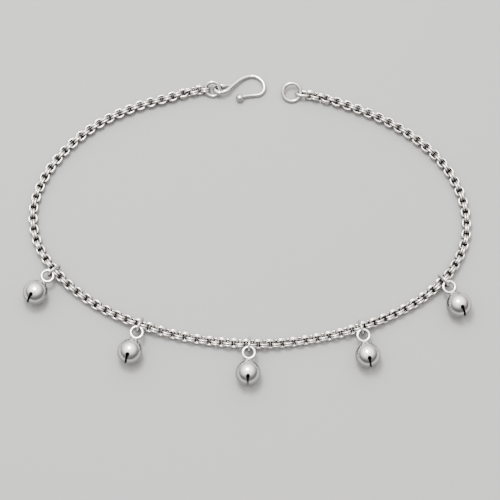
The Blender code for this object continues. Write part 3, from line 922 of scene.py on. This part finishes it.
def add_bells(path, wire_finish, bell_finish, inside):
    shape, tilt, reach = bell_ring_shape()
    bell_data = bell_mesh(bell_finish, inside)
    for number, (place, station) in enumerate(zip(BELL_PLACES, bell_stations(path)), 1):
        middle = path.at(station) + SHIFT
        middle.z = BELL_AXIS_HEIGHT
        out = turned(place.ring_turn)
        radii = uneven(len(shape), BELL_RING_WIRE, SEEDS["bell_rings"] + number)
        ring = wire_object(f"silver_bell_ring_{number}", shape, radii,
                           BELL_RING_DETAIL.around, True, wire_finish)
        ring.matrix_world = frame_matrix(
            middle, out * math.cos(tilt) + UP * math.sin(tilt),
            UP * math.cos(tilt) - out * math.sin(tilt))
        place_piece(ring, "wire_silver", f"bell_ring_{number}")

        wire_height = middle.z + reach * math.sin(tilt)
        drop = BELL_DIAMETER / 2 - wire_height
        pitch = math.asin(drop / (BELL_REACH + EYELET_RADIUS))
        away = turned(place.bell_turn)
        axis = -away * math.cos(pitch) - UP * math.sin(pitch)
        ball_middle = middle + out * EYELET_SETBACK + away * BELL_REACH * math.cos(pitch)
        ball_middle.z = BELL_DIAMETER / 2
        bell = link_object(f"silver_bell_{number}", bell_data.copy())
        bell.matrix_world = frame_matrix(ball_middle, axis, UP.cross(away))
        place_piece(bell, "bell_silver", f"bell_{number}")


# Stage

def add_floor():
    bpy.ops.mesh.primitive_plane_add(size=FLOOR_SIZE, location=(0, 0, 0))
    floor = bpy.context.object
    floor.name = "floor"
    floor.data.materials.append(floor_paper())


def facing(nodes, links, source, toward):
    """The cosine of the angle between the source direction and the given one."""
    node = nodes.new("ShaderNodeVectorMath")
    node.operation = "DOT_PRODUCT"
    node.inputs[1].default_value = toward
    links.new(source, node.inputs[0])
    return node.outputs["Value"]


def add_world():
    """A white tent: brightest overhead and a little behind, dimming evenly all round, with a
    small dark opening for the lens."""
    world = bpy.data.worlds.new("studio")
    bpy.context.scene.world = world
    world.use_nodes = True
    nodes = world.node_tree.nodes
    links = world.node_tree.links
    direction = nodes.new("ShaderNodeTexCoord").outputs["Generated"]
    height = facing(nodes, links, direction, SKY_PEAK)
    height = map_range(nodes, links, height, *SKY_REACH, 0.0, 1.0)
    glow = combined(nodes, links, "POWER", height, SKY_FALLOFF)
    strength = map_range(nodes, links, glow, 0.0, 1.0, *SKY_STRENGTH)
    edge, middle = (math.cos(math.radians(angle)) for angle in LENS_ANGLES)
    lens = map_range(nodes, links, facing(nodes, links, direction, CAMERA_SIDE),
                     edge, middle, 1.0, LENS_SHADE)
    strength = combined(nodes, links, "MULTIPLY", strength, lens)
    back = nodes["Background"]
    back.inputs["Color"].default_value = SKY_COLOUR
    links.new(strength, back.inputs["Strength"])


def add_softbox():
    data = bpy.data.lights.new("top_softbox", "AREA")
    data.shape = "DISK"
    data.size = SOFTBOX_SIZE
    data.energy = SOFTBOX_POWER
    item = link_object("top_softbox", data)
    item.location = SOFTBOX_PLACE
    item.rotation_euler = (-Vector(SOFTBOX_PLACE)).to_track_quat("-Z", "Y").to_euler()


def add_camera():
    target = Vector((SHIFT.x, SHIFT.y, 0.0))
    data = bpy.data.cameras.new("camera")
    data.lens = data.sensor_width * CAMERA_DISTANCE / PICTURE_WIDTH
    data.clip_end = CAMERA_SIGHT
    camera = link_object("camera", data)
    camera.location = target + CAMERA_SIDE * CAMERA_DISTANCE
    camera.rotation_euler = (-CAMERA_SIDE).to_track_quat("-Z", "Y").to_euler()
    bpy.context.scene.camera = camera


def main():
    add_camera()
    route = [(x * LOOP_WIDTH, y * LOOP_DEPTH, 0.0) for x, y in ROUTE]
    path = Path(smooth_path(route, ROUTE_SPACING))
    wire_finish = silver(WIRE_LOOK)
    add_chain(path, silver(CHAIN_LOOK))
    add_hook_end(path, wire_finish)
    add_clasp_end(path, wire_finish)
    add_bells(path, wire_finish, silver(BELL_LOOK), silver(SHADED_INSIDE_LOOK))
    add_floor()
    add_world()
    add_softbox()


main()
